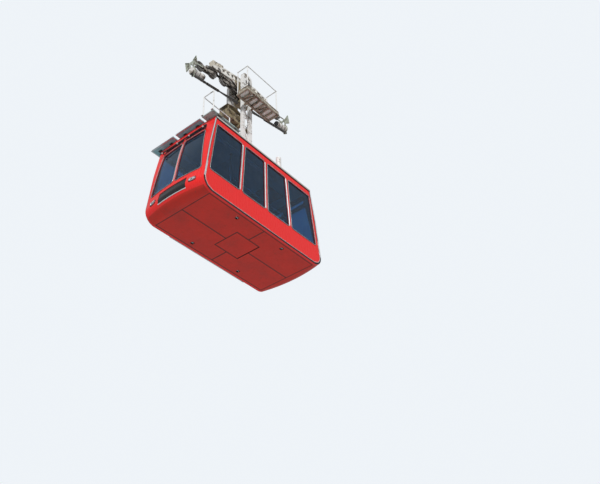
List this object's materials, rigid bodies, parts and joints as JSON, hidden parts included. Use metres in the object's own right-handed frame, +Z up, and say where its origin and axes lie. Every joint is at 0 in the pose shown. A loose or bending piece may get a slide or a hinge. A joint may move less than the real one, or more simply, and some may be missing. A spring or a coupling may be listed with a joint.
{
  "type": "cable car cabin",
  "caption": "Aerial cable car: a glazed red passenger cabin on a laced hanger, hung from a wheeled track rope carriage, with sliding doors, hatches and a railed work platform",
  "frame": {"origin": "on the track rope's axis, square under the hanger pin", "axes": "+X along the cabin towards the uphill end, +Z up, near side at -Y and door side at +Y; the carriage leans 11.6 degrees with the rope"},
  "size_m": [4.9663, 2.42, 6.7375],
  "materials": {
    "red_paint": "gloss signal-red coach paint",
    "floor_paint": "dull dark red underseal paint",
    "roof_paint": "pale grey paint",
    "tinted_glass": "blue-grey tinted safety glass",
    "black_panel": "gloss black blank panel",
    "lamp_glass": "bright lamp bezel and lens",
    "anodised_rail": "natural anodised extrusion",
    "polished_pole": "brushed stainless tube",
    "grey_panel": "blue-grey sheet",
    "deck_paint": "weathered beige-grey paint",
    "white_paint": "white paint, weathered at the joints",
    "bare_steel": "turned and greased steel",
    "brown_paint": "brown enclosure paint",
    "black_rubber": "moulded black rubber strip",
    "black_paint": "semi-matt black paint",
    "grey_green_paint": "grey-green paint",
    "cast_wheel": "cast wheel with a polished groove"
  },
  "bodies": {
    "carriage": {"main_girder": "white_paint", "rocker_left": "white_paint", "rocker_right": "white_paint", "bogies": "white_paint", "guide_left": "grey_green_paint", "guide_right": "grey_green_paint", "haul_socket_left": "bare_steel", "haul_socket_right": "bare_steel", "buffers": "white_paint", "draw_rods": "black_paint", "drop_frame": "black_paint", "rope_brake": "black_paint", "control_boxes": "brown_paint"},
    "wheel_1": {"wheel_1": "cast_wheel"},
    "wheel_2": {"wheel_2": "cast_wheel"},
    "wheel_3": {"wheel_3": "cast_wheel"},
    "wheel_4": {"wheel_4": "cast_wheel"},
    "wheel_5": {"wheel_5": "cast_wheel"},
    "wheel_6": {"wheel_6": "cast_wheel"},
    "wheel_7": {"wheel_7": "cast_wheel"},
    "wheel_8": {"wheel_8": "cast_wheel"},
    "door_left": {"door_left": "red_paint", "door_glass_left": "tinted_glass"},
    "door_right": {"door_right": "red_paint", "door_glass_right": "tinted_glass"},
    "floor_hatch": {"floor_hatch": "floor_paint"},
    "roof_hatch": {"roof_hatch": "roof_paint"},
    "cabin": {"floor_pan": "floor_paint", "side_wall_near": "red_paint", "side_wall_far": "red_paint", "end_wall_left": "red_paint", "end_wall_right": "red_paint", "end_panels": "black_panel", "end_lamps": "lamp_glass", "side_glass": "tinted_glass", "end_glass": "tinted_glass", "roof": "roof_paint", "gutters": "roof_paint", "door_rails": "anodised_rail", "end_rails": "black_paint", "grab_poles": "polished_pole", "hand_rail": "polished_pole", "roof_panels": "grey_panel", "roof_deck": "deck_paint", "roof_railing": "white_paint", "roof_post": "white_paint", "hanger_base": "white_paint", "hanger_leg_near": "white_paint", "hanger_leg_far": "white_paint", "hanger_pin": "bare_steel", "cross_beams": "white_paint", "hydraulic_unit": "brown_paint", "platform": "deck_paint", "platform_deck": "deck_paint", "platform_railing": "white_paint", "edge_strips": "black_rubber"}
  },
  "joints": [
    {"name": "hanger_swing", "type": "hinge", "parent": "carriage", "child": "cabin", "pos_m": [-0.06032, 0, 0.29387], "axis": [0, 1, 0], "range_deg": [-15, 15]},
    {"name": "wheel_1_spin", "type": "hinge", "parent": "carriage", "child": "wheel_1", "pos_m": [-1.8155, 0, -0.20678], "axis": [0, 1, 0], "continuous": true},
    {"name": "wheel_2_spin", "type": "hinge", "parent": "carriage", "child": "wheel_2", "pos_m": [-1.30612, 0, -0.10222], "axis": [0, 1, 0], "continuous": true},
    {"name": "wheel_3_spin", "type": "hinge", "parent": "carriage", "child": "wheel_3", "pos_m": [-0.79674, 0, 0.00234], "axis": [0, 1, 0], "continuous": true},
    {"name": "wheel_4_spin", "type": "hinge", "parent": "carriage", "child": "wheel_4", "pos_m": [-0.28736, 0, 0.1069], "axis": [0, 1, 0], "continuous": true},
    {"name": "wheel_5_spin", "type": "hinge", "parent": "carriage", "child": "wheel_5", "pos_m": [0.22201, 0, 0.21146], "axis": [0, 1, 0], "continuous": true},
    {"name": "wheel_6_spin", "type": "hinge", "parent": "carriage", "child": "wheel_6", "pos_m": [0.73139, 0, 0.31602], "axis": [0, 1, 0], "continuous": true},
    {"name": "wheel_7_spin", "type": "hinge", "parent": "carriage", "child": "wheel_7", "pos_m": [1.24077, 0, 0.42058], "axis": [0, 1, 0], "continuous": true},
    {"name": "wheel_8_spin", "type": "hinge", "parent": "carriage", "child": "wheel_8", "pos_m": [1.75015, 0, 0.52514], "axis": [0, 1, 0], "continuous": true},
    {"name": "door_left_slide", "type": "slide", "parent": "cabin", "child": "door_left", "axis": [-1, 0, 0], "range_m": [0, 0.7]},
    {"name": "door_right_slide", "type": "slide", "parent": "cabin", "child": "door_right", "axis": [1, 0, 0], "range_m": [0, 0.7]},
    {"name": "floor_hatch_hinge", "type": "hinge", "parent": "cabin", "child": "floor_hatch", "pos_m": [-0.53432, 0, -5.82583], "axis": [0, -1, 0], "range_deg": [0, 95]},
    {"name": "roof_hatch_hinge", "type": "hinge", "parent": "cabin", "child": "roof_hatch", "pos_m": [1.54368, 0, -3.24583], "axis": [0, 1, 0], "range_deg": [0, 100]}
  ]
}
